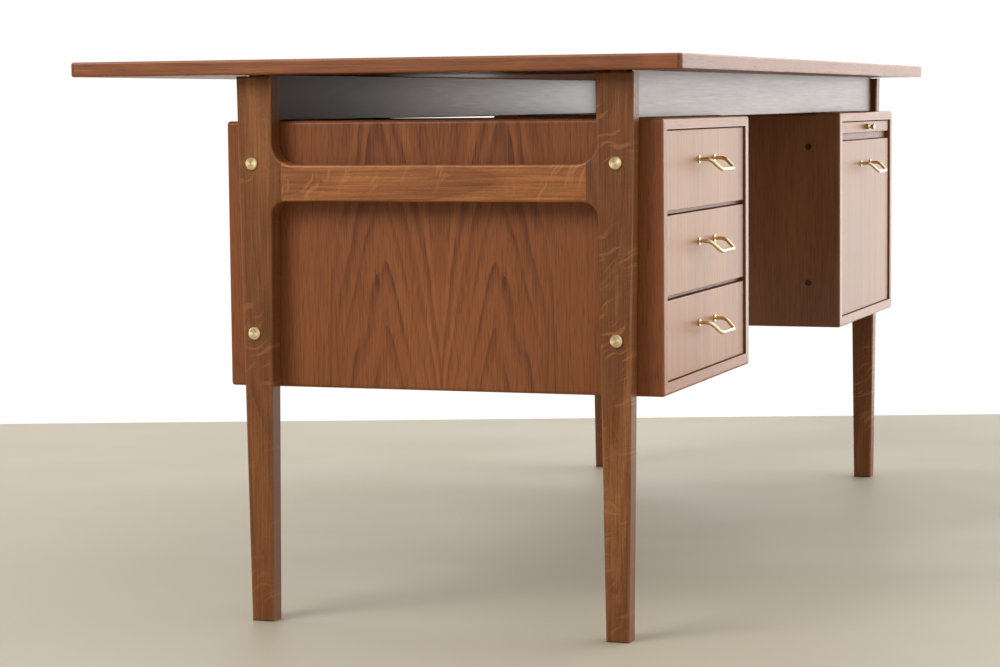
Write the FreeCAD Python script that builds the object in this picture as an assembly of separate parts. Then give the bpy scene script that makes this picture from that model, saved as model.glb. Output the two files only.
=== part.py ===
import FreeCAD, Part
import math
import os

# A free-standing writing desk. Two oak end frames carry a veneered top on two long aprons.
# A case hangs on the inside of each frame: three small drawers on the left, and a writing
# slide over a file drawer on the right.
#
# Millimetres. +X runs along the desk to the user's right, -Y is the drawer side, +Z is up.
# The origin is on the floor, under the middle of the top.

os.makedirs("parts", exist_ok=True)
Vector = FreeCAD.Vector

# ---------------------------------------------------------------- driving dimensions

# Top
DESK_HEIGHT = 720.0
TOP_LENGTH = 1575.0
TOP_DEPTH = 815.0
TOP_THICK = 19.0
LIPPING = 6.0
TOP_EDGE_ROUND = 3.0
TOP_CORNER_ROUND = 5.0

# End frames
END_OVERHANG = 27.5        # top beyond the outer face of a frame
FRONT_OVERHANG = 68.0      # top beyond the front leg, at the leg's top
LEG_SPACING = 477.0        # between the centre lines of the front and back legs
LEG_THICK = 28.0           # along X
LEG_TOP_WIDTH = 49.0       # along Y, under the top
LEG_FOOT_WIDTH = 30.0      # along Y, on the floor
TOP_GAP = 1.5              # air between a leg and the top
CROSS_RAIL_DROP = 55.5     # cross rail's upper edge below the case's upper face
CROSS_RAIL_HEIGHT = 46.0
SHOULDER = 14.0            # from a leg's inner edge to the joint with the cross rail
UPPER_FILLET = 28.0
LOWER_FILLET = 20.0
FRAME_EDGE_ROUND = 3.5

# Aprons
APRON_HEIGHT = 58.5
APRON_THICK = 20.0
APRON_SETBACK = 9.5        # behind the outer edge of the leg, at the leg's top
APRON_EDGE_ROUND = 1.5

# Cases
CASE_WIDTH = 430.0
CASE_HEIGHT = 341.0
CASE_DEPTH = 582.0
CASE_PROUD = 27.5          # case front ahead of the front leg's outer edge
CASE_SIDE = 18.0
CASE_TOP_THICK = 14.0
CASE_BOTTOM_THICK = 16.0
CASE_CORNER_ROUND = 5.0
CASE_EDGE_ROUND = 3.5
CASE_BACK_THICK = 8.0
CASE_BACK_RECESS = 3.0
DIVIDER_THICK = 3.5
DIVIDER_RECESS = 9.0       # divider's front edge behind the case front
DIVIDER_GROOVE = 4.0
SHELF_THICK = 10.5

# Drawer fronts and the writing slide
SMALL_DRAWERS = 3
FRONT_THICK = 18.0
FRONT_INSET = 3.0
GAP_SIDE = 1.5
GAP_ABOVE = 1.2
GAP_BELOW = 0.6
FRONT_EDGE_ROUND = 1.2
SLIDE_THICK = 18.0
SLIDE_DEPTH = 514.0

# Drawer boxes
BOX_SIDE = 12.0
BOX_CLEAR = 1.0            # box to case side
BOX_BASE_CLEAR = 5.0       # box above the divider or the case bottom
BOX_HEADROOM = 15.0        # box below the divider or the case top
BOX_DEPTH = 520.0
BOX_BACK_THICK = 10.0
BOX_BACK_DROP = 6.0        # back below the upper edge of the sides
BOX_BOTTOM_THICK = 5.0
BOX_BOTTOM_RISE = 8.0
BOX_BOTTOM_GROOVE = 5.0
RUNNER_HEIGHT = 10.0
RUNNER_BITE = 6.0          # runner's depth inside the groove of a box side
RUNNER_PLAY = 0.5          # groove around the runner
RUNNER_SETBACK = 12.0      # runner's front end behind the drawer front
RUNNER_BACK_CLEAR = 6.0    # runner's back end ahead of the case back
FILE_RUNNER_HEIGHT = 16.0
FILE_BOX_DROP = 35.0       # file box sides below the upper edge of the file front
HANGER_THICK = 3.0
HANGER_HEIGHT = 14.0
HANGER_SPACING = 330.0
HANGER_DROP = 12.0         # hanger below the upper edge of the file box

# Wire pulls
WIRE_DIAMETER = 4.7
PULL_LEGS = 76.0           # between the two legs of a pull, at the front
PULL_BAR = 66.0            # between the two ends of its bar
PULL_STRAIGHT = 15.5       # where a leg turns down, in front of the drawer
PULL_REACH = 28.5          # bar in front of the drawer
PULL_FALL = 13.2           # bar below the legs
PULL_BEND = 15.0
PULL_CORNER = 8.0
PULL_DROP = 38.5           # legs below the upper edge of the front
ROSETTE_RADIUS = 4.8
ROSETTE_THICK = 1.6

# Knob of the writing slide
KNOB_BASE_RADIUS = 4.4
KNOB_WAIST_RADIUS = 2.6
KNOB_DISC_RADIUS = 5.0
KNOB_BASE_LENGTH = 5.5
KNOB_WAIST_AT = 8.5
KNOB_DISC_AT = 13.5
KNOB_LENGTH = 15.0
KNOB_STUD_RADIUS = 2.0
KNOB_STUD_LENGTH = 14.0

# Fasteners
BOLT_FRONT_OUTSET = 1.0    # bolt outside the leg's centre line
BOLT_BACK_OUTSET = 4.0
BOLT_TOP_DROP = 53.5       # upper bolts below the case's upper face
BOLT_LOW_RISE = 71.0       # lower bolts above the case's lower face
BOLT_HEAD_RADIUS = 8.1
BOLT_HEAD_THICK = 3.2
BOLT_HEAD_BEVEL = 1.2
BOLT_RADIUS = 3.0
WASHER_THICK = 4.0
WASHER_RADIUS = 7.0
NUT_RADIUS = 6.0
NUT_LENGTH = 13.0
NUT_WALL = 2.0             # end of the bolt behind the face of the nut
PLUG_RADIUS = 5.0
PLUG_DEPTH = 8.0
PLUG_PROUD = 0.8
STUD_RADIUS = 3.0
STUD_IN_LEG = 30.0
STUD_IN_TOP = 12.0
COLLAR_RADIUS = 10.5
DOWEL_RADIUS = 4.0
DOWEL_LENGTH = 32.0
DOWEL_WALL = 2.0           # wood between an apron dowel and the stud in a leg
RAIL_DOWEL_PITCH = 22.0
APRON_DOWEL_PITCH = 28.0
SCREW_RADIUS = 2.0
SCREW_HEAD_RADIUS = 4.5
SCREW_HEAD_HEIGHT = 3.0
SCREW_LENGTH = 42.0
SCREW_IN_TOP = 12.0
SCREW_INSET = 40.0         # case screws from the outer faces of the case
TOP_SCREW_X = (200.0, 600.0)

# ---------------------------------------------------------------- places worked out from them

top_under = DESK_HEIGHT - TOP_THICK
frame_out = TOP_LENGTH / 2 - END_OVERHANG
frame_in = frame_out - LEG_THICK
frame_mid = frame_out - LEG_THICK / 2
leg_top = top_under - TOP_GAP
leg_front_edge = -TOP_DEPTH / 2 + FRONT_OVERHANG
front_leg_y = leg_front_edge + LEG_TOP_WIDTH / 2
back_leg_y = front_leg_y + LEG_SPACING
leg_back_edge = back_leg_y + LEG_TOP_WIDTH / 2

apron_under = top_under - APRON_HEIGHT
front_apron_y = (leg_front_edge + APRON_SETBACK, leg_front_edge + APRON_SETBACK + APRON_THICK)
back_apron_y = (leg_back_edge - APRON_SETBACK - APRON_THICK, leg_back_edge - APRON_SETBACK)

case_top = apron_under
case_low = case_top - CASE_HEIGHT
case_front = leg_front_edge - CASE_PROUD
case_back = case_front + CASE_DEPTH
case_out = frame_in - WASHER_THICK
case_knee = case_out - CASE_WIDTH
case_mid = (case_out + case_knee) / 2
room_low = case_low + CASE_BOTTOM_THICK
room_top = case_top - CASE_TOP_THICK
room_half = CASE_WIDTH / 2 - CASE_SIDE
room_back = case_back - CASE_BACK_RECESS - CASE_BACK_THICK

rail_top = case_top - CROSS_RAIL_DROP
rail_low = rail_top - CROSS_RAIL_HEIGHT
bolt_levels = (case_top - BOLT_TOP_DROP, case_low + BOLT_LOW_RISE)
bolt_rows = (front_leg_y - BOLT_FRONT_OUTSET, back_leg_y + BOLT_BACK_OUTSET)

front_face = case_front + FRONT_INSET
front_rear = front_face + FRONT_THICK
box_half = room_half - BOX_CLEAR
box_back = front_rear + BOX_DEPTH
runner_front = front_rear + RUNNER_SETBACK
runner_back = room_back - RUNNER_BACK_CLEAR

bay_height = (room_top - room_low - (SMALL_DRAWERS - 1) * DIVIDER_THICK) / SMALL_DRAWERS
slide_top = room_top - GAP_ABOVE
slide_low = slide_top - SLIDE_THICK
shelf_top = slide_low - GAP_BELOW
shelf_low = shelf_top - SHELF_THICK

# ---------------------------------------------------------------- helpers


def box(x, y, z):
    """A block between pairs of x, y and z."""
    corner = Vector(min(x), min(y), min(z))
    return Part.makeBox(abs(x[1] - x[0]), abs(y[1] - y[0]), abs(z[1] - z[0]), corner)


def rod(radius, start, end):
    """A round rod between two points."""
    a = Vector(*start)
    way = Vector(*end) - a
    return Part.makeCylinder(radius, way.Length, a, way)


def prism_along_y(outline, y):
    """A block with an (x, z) outline, between two values of y."""
    points = [Vector(px, y[0], pz) for px, pz in outline]
    face = Part.Face(Part.makePolygon(points + points[:1]))
    return face.extrude(Vector(0, y[1] - y[0], 0))


def cut_all(shape, tools):
    """The shape less every tool."""
    return shape.cut(tools) if tools else shape


def edges_at(shape, test):
    """The edges whose two ends and middle all pass a test."""
    found = []
    for edge in shape.Edges:
        middle = edge.valueAt((edge.FirstParameter + edge.LastParameter) / 2)
        points = [vertex.Point for vertex in edge.Vertexes] + [middle]
        if all(test(point) for point in points):
            found.append(edge)
    return found


def near(value, target):
    """Whether two lengths are the same."""
    return abs(value - target) < 1e-4


def save(name, *solids):
    """Write one sub-part, which is one solid or a group of separate ones."""
    shape = solids[0] if len(solids) == 1 else Part.makeCompound(list(solids))
    shape.exportStep("parts/" + name + ".step")


# ---------------------------------------------------------------- fasteners and their holes


def screw(x, y, head_z):
    """A countersunk wood screw that points up, with the face of its head at head_z."""
    neck = head_z + SCREW_HEAD_HEIGHT
    base = Vector(x, y, head_z)
    head = Part.makeCone(SCREW_HEAD_RADIUS, SCREW_RADIUS, SCREW_HEAD_HEIGHT, base, Vector(0, 0, 1))
    return head.fuse(rod(SCREW_RADIUS, (x, y, neck), (x, y, head_z + SCREW_LENGTH))).removeSplitter()


apron_lines = [sum(front_apron_y) / 2, sum(back_apron_y) / 2]
top_screw_head = top_under + SCREW_IN_TOP - SCREW_LENGTH
case_screw_reach = (case_out - SCREW_INSET, case_knee + SCREW_INSET)
case_screw_xs = [side * x for side in (-1, 1) for x in case_screw_reach]
top_screw_xs = [side * x for side in (-1, 1) for x in TOP_SCREW_X]
top_screw_places = [(x, y) for x in top_screw_xs for y in apron_lines]
case_screw_places = [(x, y) for x in case_screw_xs for y in apron_lines]
top_screws = [screw(x, y, top_screw_head) for x, y in top_screw_places]
case_screws = [screw(x, y, room_top) for x, y in case_screw_places]
screw_wells = [rod(SCREW_HEAD_RADIUS, (x, y, apron_under), (x, y, top_screw_head))
               for x, y in top_screw_places]

leg_places = [(side * frame_mid, y) for side in (-1, 1) for y in (front_leg_y, back_leg_y)]
studs = [rod(STUD_RADIUS, (x, y, leg_top - STUD_IN_LEG), (x, y, top_under + STUD_IN_TOP))
         for x, y in leg_places]
collars = [rod(COLLAR_RADIUS, (x, y, leg_top), (x, y, top_under)).cut(stud)
           for (x, y), stud in zip(leg_places, studs)]


def leg_half_width(z):
    """Half the width of a leg at a height: it tapers evenly from the top to the foot."""
    share = z / leg_top
    return (LEG_FOOT_WIDTH + (LEG_TOP_WIDTH - LEG_FOOT_WIDTH) * share) / 2


rail_mid = (rail_low + rail_top) / 2
front_joint = front_leg_y + leg_half_width(rail_mid) + SHOULDER
back_joint = back_leg_y - leg_half_width(rail_mid) - SHOULDER
apron_mid = (apron_under + top_under) / 2

dowel_end = frame_mid - STUD_RADIUS - DOWEL_WALL
dowels = []
for side in (-1, 1):
    for joint in (front_joint, back_joint):
        for offset in (-RAIL_DOWEL_PITCH / 2, RAIL_DOWEL_PITCH / 2):
            z = rail_mid + offset
            dowels.append(rod(DOWEL_RADIUS, (side * frame_mid, joint - DOWEL_LENGTH / 2, z),
                              (side * frame_mid, joint + DOWEL_LENGTH / 2, z)))
    for y in apron_lines:
        for offset in (-APRON_DOWEL_PITCH / 2, APRON_DOWEL_PITCH / 2):
            z = apron_mid + offset
            dowels.append(rod(DOWEL_RADIUS, (side * dowel_end, y, z),
                              (side * (dowel_end - DOWEL_LENGTH), y, z)))

room_out = case_out - CASE_SIDE
nut_in = room_out + NUT_LENGTH
bolt_end = room_out + NUT_WALL
head_face = frame_out + BOLT_HEAD_THICK
bolts, washers, nuts, plugs = [], [], [], []
for side in (-1, 1):
    for y in bolt_rows:
        for z in bolt_levels:
            shank = rod(BOLT_RADIUS, (side * frame_out, y, z), (side * bolt_end, y, z))
            head = rod(BOLT_HEAD_RADIUS, (side * frame_out, y, z), (side * head_face, y, z))
            rim = edges_at(head, lambda p: near(abs(p.x), head_face))
            head = head.makeChamfer(BOLT_HEAD_BEVEL, rim)
            bolts.append(head.fuse(shank).removeSplitter())
            washer = rod(WASHER_RADIUS, (side * case_out, y, z), (side * frame_in, y, z))
            washers.append(washer.cut(shank))
            nut = rod(NUT_RADIUS, (side * room_out, y, z), (side * nut_in, y, z))
            nuts.append(nut.cut(shank))
            plugs.append(rod(PLUG_RADIUS, (side * (case_knee - PLUG_PROUD), y, z),
                             (side * (case_knee + PLUG_DEPTH), y, z)))

# ---------------------------------------------------------------- top and aprons

half_length = TOP_LENGTH / 2
half_depth = TOP_DEPTH / 2
slab = box((-half_length, half_length), (-half_depth, half_depth), (top_under, DESK_HEIGHT))
upright = edges_at(slab, lambda p: near(abs(p.x), half_length) and near(abs(p.y), half_depth))
slab = slab.makeFillet(TOP_CORNER_ROUND, upright)
arris = edges_at(slab, lambda p: near(p.z, DESK_HEIGHT) or near(p.z, top_under))
slab = slab.makeFillet(min(TOP_EDGE_ROUND, TOP_THICK / 2.5), arris)

core_x = half_length - LIPPING
core_y = half_depth - LIPPING
levels = (top_under, DESK_HEIGHT)
core = box((-core_x, core_x), (-core_y, core_y), levels)
save("top_panel", cut_all(core, studs + top_screws))
lippings = []
for side in (-1, 1):
    long_strip = box((-half_length, half_length), (side * core_y, side * half_depth), levels)
    short_strip = box((side * core_x, side * half_length), (-core_y, core_y), levels)
    lippings += [slab.common(long_strip), slab.common(short_strip)]
save("top_lippings", *lippings)

for name, y in (("front_apron", front_apron_y), ("back_apron", back_apron_y)):
    apron = box((-frame_in, frame_in), y, (apron_under, top_under))
    lower = edges_at(apron, lambda p: near(p.z, apron_under))
    long_lower = [edge for edge in lower if near(edge.Length, 2 * frame_in)]
    apron = apron.makeFillet(APRON_EDGE_ROUND, long_lower)
    save(name, cut_all(apron, dowels + top_screws + case_screws + screw_wells))

# ---------------------------------------------------------------- end frames


def leg_blank(y, x):
    """A tapered leg as a plain block, between two values of x."""
    top = leg_half_width(leg_top)
    foot = leg_half_width(0)
    outline = [(y - foot, 0), (y + foot, 0), (y + top, leg_top), (y - top, leg_top)]
    points = [Vector(x[0], py, pz) for py, pz in outline]
    return Part.Face(Part.makePolygon(points + points[:1])).extrude(Vector(x[1] - x[0], 0, 0))


def end_frame(side):
    """One whole frame with its curves, as (front leg, cross rail, back leg)."""
    x = sorted((side * frame_in, side * frame_out))
    frame = leg_blank(front_leg_y, x).fuse(leg_blank(back_leg_y, x))
    frame = frame.fuse(box(x, (front_leg_y, back_leg_y), (rail_low, rail_top))).removeSplitter()
    inner = (front_leg_y + LEG_FOOT_WIDTH / 4, back_leg_y - LEG_FOOT_WIDTH / 4)
    for level, radius in ((rail_top, UPPER_FILLET), (rail_low, LOWER_FILLET)):
        along = edges_at(frame, lambda p: near(p.z, level) and inner[0] < p.y < inner[1])
        corners = [edge for edge in along if near(edge.Length, LEG_THICK)]
        frame = frame.makeFillet(radius, corners)
    outline = edges_at(frame, lambda p: near(abs(p.x), frame_in) or near(abs(p.x), frame_out))
    frame = frame.makeFillet(min(FRAME_EDGE_ROUND, LEG_THICK / 2.5), outline)
    bounds = frame.BoundBox
    height = (0, leg_top)
    return (frame.common(box(x, (bounds.YMin, front_joint), height)),
            frame.common(box(x, (front_joint, back_joint), height)),
            frame.common(box(x, (back_joint, bounds.YMax), height)))


for side, name in ((-1, "left"), (1, "right")):
    front_leg, cross_rail, back_leg = end_frame(side)
    save(name + "_front_leg", cut_all(front_leg, studs + dowels + bolts))
    save(name + "_cross_rail", cut_all(cross_rail, dowels))
    save(name + "_back_leg", cut_all(back_leg, studs + dowels + bolts))

save("leg_studs", *studs)
save("leg_collars", *collars)
save("frame_dowels", *dowels)
save("apron_screws", *(top_screws + case_screws))
save("frame_bolts", *bolts)
save("frame_washers", *washers)
save("case_nuts", *nuts)
save("kneehole_plugs", *plugs)

# ---------------------------------------------------------------- cases


def case_shell(side):
    """The four mitred panels of a case, keyed by name, before any hole."""
    center = side * case_mid
    half = CASE_WIDTH / 2
    block = box((center - half, center + half), (case_front, case_back), (case_low, case_top))
    long_edges = edges_at(block, lambda p: near(abs(p.x - center), half))
    long_edges = [edge for edge in long_edges if near(edge.Length, CASE_DEPTH)]
    block = block.makeFillet(CASE_CORNER_ROUND, long_edges)
    rims = edges_at(block, lambda p: near(p.y, case_front) or near(p.y, case_back))
    block = block.makeFillet(CASE_EDGE_ROUND, rims)
    room_x = (center - room_half, center + room_half)
    ring = block.cut(box(room_x, (case_front, case_back), (room_low, room_top)))
    outer = {"low_near": (center - half, case_low), "low_far": (center + half, case_low),
             "top_near": (center - half, case_top), "top_far": (center + half, case_top)}
    inner = {"low_near": (center - room_half, room_low), "low_far": (center + room_half, room_low),
             "top_near": (center - room_half, room_top), "top_far": (center + room_half, room_top)}
    sides = {"top": ("top_near", "top_far"), "bottom": ("low_near", "low_far"),
             "near": ("low_near", "top_near"), "far": ("low_far", "top_far")}
    panels = {}
    for panel, (start, end) in sides.items():
        outline = [outer[start], outer[end], inner[end], inner[start]]
        wedge = prism_along_y(outline, (case_front, case_back))
        panels[panel] = ring.common(wedge)
    return panels


def side_runner(face_x, toward, y, z_mid, height):
    """A runner on a case side: toward is +1 where the drawer lies on the +X side of that face."""
    reach = toward * (BOX_CLEAR + RUNNER_BITE)
    return box((face_x, face_x + reach), y, (z_mid - height / 2, z_mid + height / 2))


def drawer_box_levels(index):
    """Bottom and top of the box sides of a small drawer, counted from the lowest."""
    bay_low = room_low + index * (bay_height + DIVIDER_THICK)
    return bay_low + BOX_BASE_CLEAR, bay_low + bay_height - BOX_HEADROOM


def case_runners(side, levels, height):
    """A pair of runners for each pair of box levels."""
    runners = []
    span = (runner_front, runner_back)
    for low, high in levels:
        for toward in (1, -1):
            face_x = side * case_mid - toward * room_half
            runners.append(side_runner(face_x, toward, span, (low + high) / 2, height))
    return runners


small_levels = [drawer_box_levels(index) for index in range(SMALL_DRAWERS)]
file_front_top = shelf_low - GAP_ABOVE
file_level = (room_low + BOX_BASE_CLEAR, file_front_top - FILE_BOX_DROP)

divider_half = room_half + DIVIDER_GROOVE
case_fittings = bolts + nuts + plugs + case_screws
for side, name, shelves in (
        (-1, "left", [(room_low + index * (bay_height + DIVIDER_THICK) - DIVIDER_THICK, DIVIDER_THICK)
                      for index in range(1, SMALL_DRAWERS)]),
        (1, "right", [(shelf_low, SHELF_THICK)])):
    panels = case_shell(side)
    center = side * case_mid
    board_x = (center - divider_half, center + divider_half)
    boards = [box(board_x, (case_front + DIVIDER_RECESS, room_back), (low, low + thick))
              for low, thick in shelves]
    outer_key, inner_key = ("near", "far") if side < 0 else ("far", "near")
    save(name + "_case_outer_side", cut_all(panels[outer_key], case_fittings + boards))
    save(name + "_case_inner_side", cut_all(panels[inner_key], case_fittings + boards))
    save(name + "_case_top", cut_all(panels["top"], case_screws))
    save(name + "_case_bottom", panels["bottom"])
    save(name + "_case_back", box((center - room_half, center + room_half),
                                  (room_back, room_back + CASE_BACK_THICK), (room_low, room_top)))
    save("small_drawer_dividers" if side < 0 else "slide_shelf", *boards)

save("small_drawer_runners", *case_runners(-1, small_levels, RUNNER_HEIGHT))
save("file_drawer_runners", *case_runners(1, [file_level], FILE_RUNNER_HEIGHT))

# ---------------------------------------------------------------- pulls and the knob


def rounded_path(points, radii):
    """A wire along straight runs, with an arc of its own radius at each inner point."""
    edges = []
    start = points[0]
    for before, corner, after, radius in zip(points, points[1:], points[2:], radii):
        back = (before - corner).normalize()
        ahead = (after - corner).normalize()
        half_angle = back.getAngle(ahead) / 2
        inward = (back + ahead).normalize()
        run = radius / math.tan(half_angle)
        enter = corner + back * run
        leave = corner + ahead * run
        middle = corner + inward * (radius / math.sin(half_angle) - radius)
        edges.append(Part.LineSegment(start, enter).toShape())
        edges.append(Part.Arc(enter, middle, leave).toShape())
        start = leave
    edges.append(Part.LineSegment(start, points[-1]).toShape())
    return Part.Wire(edges)


def wire_pull(center_x, level):
    """A bent wire pull whose ends run through the drawer front."""
    leg = PULL_LEGS / 2
    bar = PULL_BAR / 2
    places = [(leg, front_rear, level), (leg, front_face - PULL_STRAIGHT, level),
              (bar, front_face - PULL_REACH, level - PULL_FALL)]
    near_leg = [Vector(center_x - out, y, z) for out, y, z in places]
    far_leg = [Vector(center_x + out, y, z) for out, y, z in reversed(places)]
    points = near_leg + far_leg
    path = rounded_path(points, [PULL_BEND, PULL_CORNER, PULL_CORNER, PULL_BEND])
    ring = Part.Wire(Part.makeCircle(WIRE_DIAMETER / 2, points[0], Vector(0, -1, 0)))
    pull = path.makePipeShell([ring], True, False)
    rosette_face = front_face - ROSETTE_THICK
    for x in (center_x - leg, center_x + leg):
        pull = pull.fuse(rod(ROSETTE_RADIUS, (x, front_face, level), (x, rosette_face, level)))
    return pull


def slide_knob(center_x, level):
    """A turned knob with a waist and a flared disc, and a stud that enters the slide."""
    profile = [(0, -KNOB_STUD_LENGTH), (KNOB_STUD_RADIUS, -KNOB_STUD_LENGTH),
               (KNOB_STUD_RADIUS, 0), (KNOB_BASE_RADIUS, 0),
               (KNOB_BASE_RADIUS, KNOB_BASE_LENGTH), (KNOB_WAIST_RADIUS, KNOB_WAIST_AT),
               (KNOB_DISC_RADIUS, KNOB_DISC_AT), (KNOB_DISC_RADIUS, KNOB_LENGTH),
               (0, KNOB_LENGTH)]
    points = [Vector(center_x + radius, front_face - out, level) for radius, out in profile]
    face = Part.Face(Part.makePolygon(points + points[:1]))
    return face.revolve(Vector(center_x, front_face, level), Vector(0, -1, 0), 360)


# ---------------------------------------------------------------- drawers and the slide


def drawer(name, center_x, front_span, box_span, runner_height):
    """A drawer: front, two sides with stopped grooves, back, bottom and pull."""
    front_low, front_top = front_span
    box_low, box_top = box_span
    level = front_top - PULL_DROP
    pull = wire_pull(center_x, level)
    front_half = room_half - GAP_SIDE
    front = box((center_x - front_half, center_x + front_half), (front_face, front_rear),
                (front_low, front_top))
    rim = edges_at(front, lambda p: near(p.y, front_face))
    front = front.makeFillet(FRONT_EDGE_ROUND, rim)
    inner_half = box_half - BOX_SIDE
    bottom_low = box_low + BOX_BOTTOM_RISE
    tray_half = inner_half + BOX_BOTTOM_GROOVE
    tray = box((center_x - tray_half, center_x + tray_half), (front_rear - BOX_BOTTOM_GROOVE, box_back),
               (bottom_low, bottom_low + BOX_BOTTOM_THICK))
    middle = (box_low + box_top) / 2
    groove_half = runner_height / 2 + RUNNER_PLAY
    groove_depth = RUNNER_BITE + RUNNER_PLAY
    save(name + "_front", front.cut([pull, tray]))
    for toward, word in ((1, "left"), (-1, "right")):
        outer = center_x - toward * box_half
        blank = box((outer, outer + toward * BOX_SIDE), (front_rear, box_back), (box_low, box_top))
        groove = box((outer, outer + toward * groove_depth), (runner_front - RUNNER_PLAY, box_back),
                     (middle - groove_half, middle + groove_half))
        save(name + "_" + word + "_side", blank.cut([groove, tray]))
    save(name + "_bottom", tray)
    save(name + "_back", box((center_x - inner_half, center_x + inner_half),
                             (box_back - BOX_BACK_THICK, box_back),
                             (bottom_low + BOX_BOTTOM_THICK, box_top - BOX_BACK_DROP)))
    save(name + "_pull", pull)


for index, box_span in enumerate(small_levels):
    bay_low = room_low + index * (bay_height + DIVIDER_THICK)
    front_span = (bay_low + GAP_BELOW, bay_low + bay_height - GAP_ABOVE)
    drawer("drawer_" + str(SMALL_DRAWERS - index), -case_mid, front_span, box_span, RUNNER_HEIGHT)

file_span = (room_low + GAP_BELOW, file_front_top)
drawer("file_drawer", case_mid, file_span, file_level, FILE_RUNNER_HEIGHT)
hanger_top = file_level[1] - HANGER_DROP
hangers = []
for side in (-1, 1):
    rail_x = case_mid + side * HANGER_SPACING / 2
    hangers.append(box((rail_x - HANGER_THICK / 2, rail_x + HANGER_THICK / 2),
                       (front_rear, box_back - BOX_BACK_THICK),
                       (hanger_top - HANGER_HEIGHT, hanger_top)))
save("file_hangers", *hangers)

slide_half = room_half - GAP_SIDE
slide_board = box((case_mid - slide_half, case_mid + slide_half),
                  (front_face, front_face + SLIDE_DEPTH), (slide_low, slide_top))
slide_rim = edges_at(slide_board, lambda p: near(p.y, front_face))
slide_board = slide_board.makeFillet(FRONT_EDGE_ROUND, slide_rim)
knob = slide_knob(case_mid, (slide_low + slide_top) / 2)
save("slide_board", slide_board.cut(knob))
save("slide_knob", knob)
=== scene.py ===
# %% [markdown]
# # A writing desk with drawers
#
# This lesson dresses a finished model of a desk in wood, brass and light. The shapes of
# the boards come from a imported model, called the frame, which never moves here. What is
# made in this file is the camera, the finishes, the small fittings that a maker adds last,
# the floor and the light. Most of the work is in the finishes: teak veneer, stained oak,
# pale oak, beech, brass and steel.
#
# Everything is in metres. X runs along the desk, the drawers face -Y, and Z is up.

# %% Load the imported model
import math
import bpy
from mathutils import Matrix, Vector


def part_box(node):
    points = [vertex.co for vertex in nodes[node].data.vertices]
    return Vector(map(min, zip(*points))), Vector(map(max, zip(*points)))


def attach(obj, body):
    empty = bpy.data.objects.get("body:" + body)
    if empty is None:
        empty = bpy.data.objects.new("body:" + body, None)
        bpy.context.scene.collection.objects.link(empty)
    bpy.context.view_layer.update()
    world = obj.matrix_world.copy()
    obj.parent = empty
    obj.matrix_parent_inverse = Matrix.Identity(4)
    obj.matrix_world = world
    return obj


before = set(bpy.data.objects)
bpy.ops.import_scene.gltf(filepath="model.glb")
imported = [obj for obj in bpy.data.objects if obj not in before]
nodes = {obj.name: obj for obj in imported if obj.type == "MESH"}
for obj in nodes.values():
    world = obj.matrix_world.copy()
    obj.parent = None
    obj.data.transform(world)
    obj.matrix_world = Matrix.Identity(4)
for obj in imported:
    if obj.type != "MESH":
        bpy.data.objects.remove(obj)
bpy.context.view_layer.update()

print("pieces in the frame:", len(nodes))

# %% [markdown]
# ## The camera
#
# The camera stands low, a little under the height of the top, and looks along the desk
# from its left end. A camera can be turned by three angles, but their order is easy to get
# wrong. Here its three directions are worked out instead: ahead, right and up. Side by side
# they are the columns of its matrix, with ahead reversed, because a camera looks backwards
# along its own Z. A long lens from a few metres away keeps the uprights nearly parallel, as
# in a catalogue of furniture.

# %% Camera
EYE = Vector((-3.8027, -1.2376, 0.6610))
TURN, TILT, LEAN = math.radians(19.400), math.radians(-4.996), math.radians(-0.560)
SENSOR, LENS = 36, 94.37
NEAREST_SEEN = 0.05

ahead = Vector((math.cos(TILT) * math.cos(TURN), math.cos(TILT) * math.sin(TURN),
                math.sin(TILT)))
level_right = ahead.cross(Vector((0, 0, 1))).normalized()
level_up = level_right.cross(ahead)
right = level_right * math.cos(LEAN) + level_up * math.sin(LEAN)
up = level_up * math.cos(LEAN) - level_right * math.sin(LEAN)

camera = bpy.data.objects.new("camera", bpy.data.cameras.new("camera"))
bpy.context.scene.collection.objects.link(camera)
directions = Matrix((right, up, -ahead)).transposed().to_4x4()
camera.matrix_world = Matrix.Translation(EYE) @ directions
camera.data.sensor_width = SENSOR
camera.data.lens = LENS
camera.data.clip_start = NEAREST_SEEN
bpy.context.scene.camera = camera
bpy.context.scene.view_settings.view_transform = "Standard"
print("camera at", tuple(round(c, 2) for c in EYE), "lens", camera.data.lens)

# %% [markdown]
# ## A small bench for making finishes
#
# A Blender material is a set of nodes joined by links. Adding each node by hand takes
# four lines, so this class keeps the work short: `node` adds one and sets or joins its
# inputs, and the methods after it are the handful of tools that every finish needs.
# A value may be a number or the output of another node, and both go in the same way.


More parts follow.
